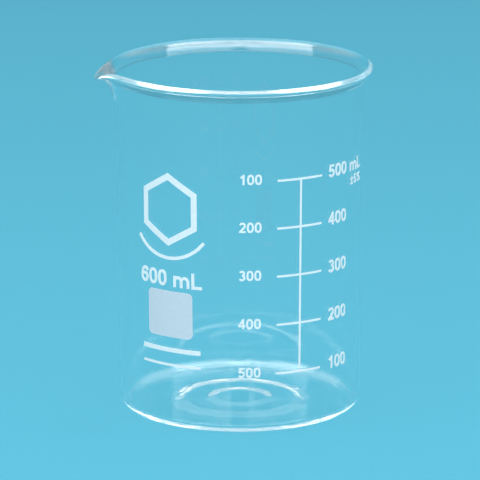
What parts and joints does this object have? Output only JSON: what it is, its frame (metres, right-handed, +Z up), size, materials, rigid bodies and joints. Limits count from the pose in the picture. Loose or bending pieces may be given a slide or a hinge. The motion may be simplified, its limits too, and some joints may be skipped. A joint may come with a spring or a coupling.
{
  "type": "laboratory beaker",
  "caption": "Low-form glass laboratory beaker with a flared rim, a pulled pouring spout and a white enamel volume scale and writing patch.",
  "frame": {"origin": "middle of the flat underside, on the surface that the beaker stands on", "axes": "+Z up the axis of the vessel; the spout points along -X; -Y is the front, with the volume scale to its right and the label to its left"},
  "size_m": [0.0997, 0.0944, 0.125],
  "materials": {
    "borosilicate_glass": "clear, fire-polished, colourless",
    "white_enamel": null
  },
  "bodies": {
    "root": {"glass_vessel": "borosilicate_glass", "scale_stem_and_ticks": "white_enamel", "contents_100_digit_1": "white_enamel", "contents_100_digit_2": "white_enamel", "contents_100_digit_3": "white_enamel", "contents_200_digit_1": "white_enamel", "contents_200_digit_2": "white_enamel", "contents_200_digit_3": "white_enamel", "contents_300_digit_1": "white_enamel", "contents_300_digit_2": "white_enamel", "contents_300_digit_3": "white_enamel", "contents_400_digit_1": "white_enamel", "contents_400_digit_2": "white_enamel", "contents_400_digit_3": "white_enamel", "contents_500_digit_1": "white_enamel", "contents_500_digit_2": "white_enamel", "contents_500_digit_3": "white_enamel", "removed_100_digit_1": "white_enamel", "removed_100_digit_2": "white_enamel", "removed_100_digit_3": "white_enamel", "removed_200_digit_1": "white_enamel", "removed_200_digit_2": "white_enamel", "removed_200_digit_3": "white_enamel", "removed_300_digit_1": "white_enamel", "removed_300_digit_2": "white_enamel", "removed_300_digit_3": "white_enamel", "removed_400_digit_1": "white_enamel", "removed_400_digit_2": "white_enamel", "removed_400_digit_3": "white_enamel", "removed_500_digit_1": "white_enamel", "removed_500_digit_2": "white_enamel", "removed_500_digit_3": "white_enamel", "unit_letter_m": "white_enamel", "unit_letter_l": "white_enamel", "tolerance_plus_minus": "white_enamel", "tolerance_digit_2": "white_enamel", "tolerance_percent": "white_enamel", "capacity_digit_1": "white_enamel", "capacity_digit_2": "white_enamel", "capacity_digit_3": "white_enamel", "capacity_letter_m": "white_enamel", "capacity_letter_l": "white_enamel", "writing_patch": "white_enamel", "label_hexagon": "white_enamel", "label_arc": "white_enamel", "label_rule_upper": "white_enamel", "label_rule_lower": "white_enamel"}
  },
  "joints": []
}
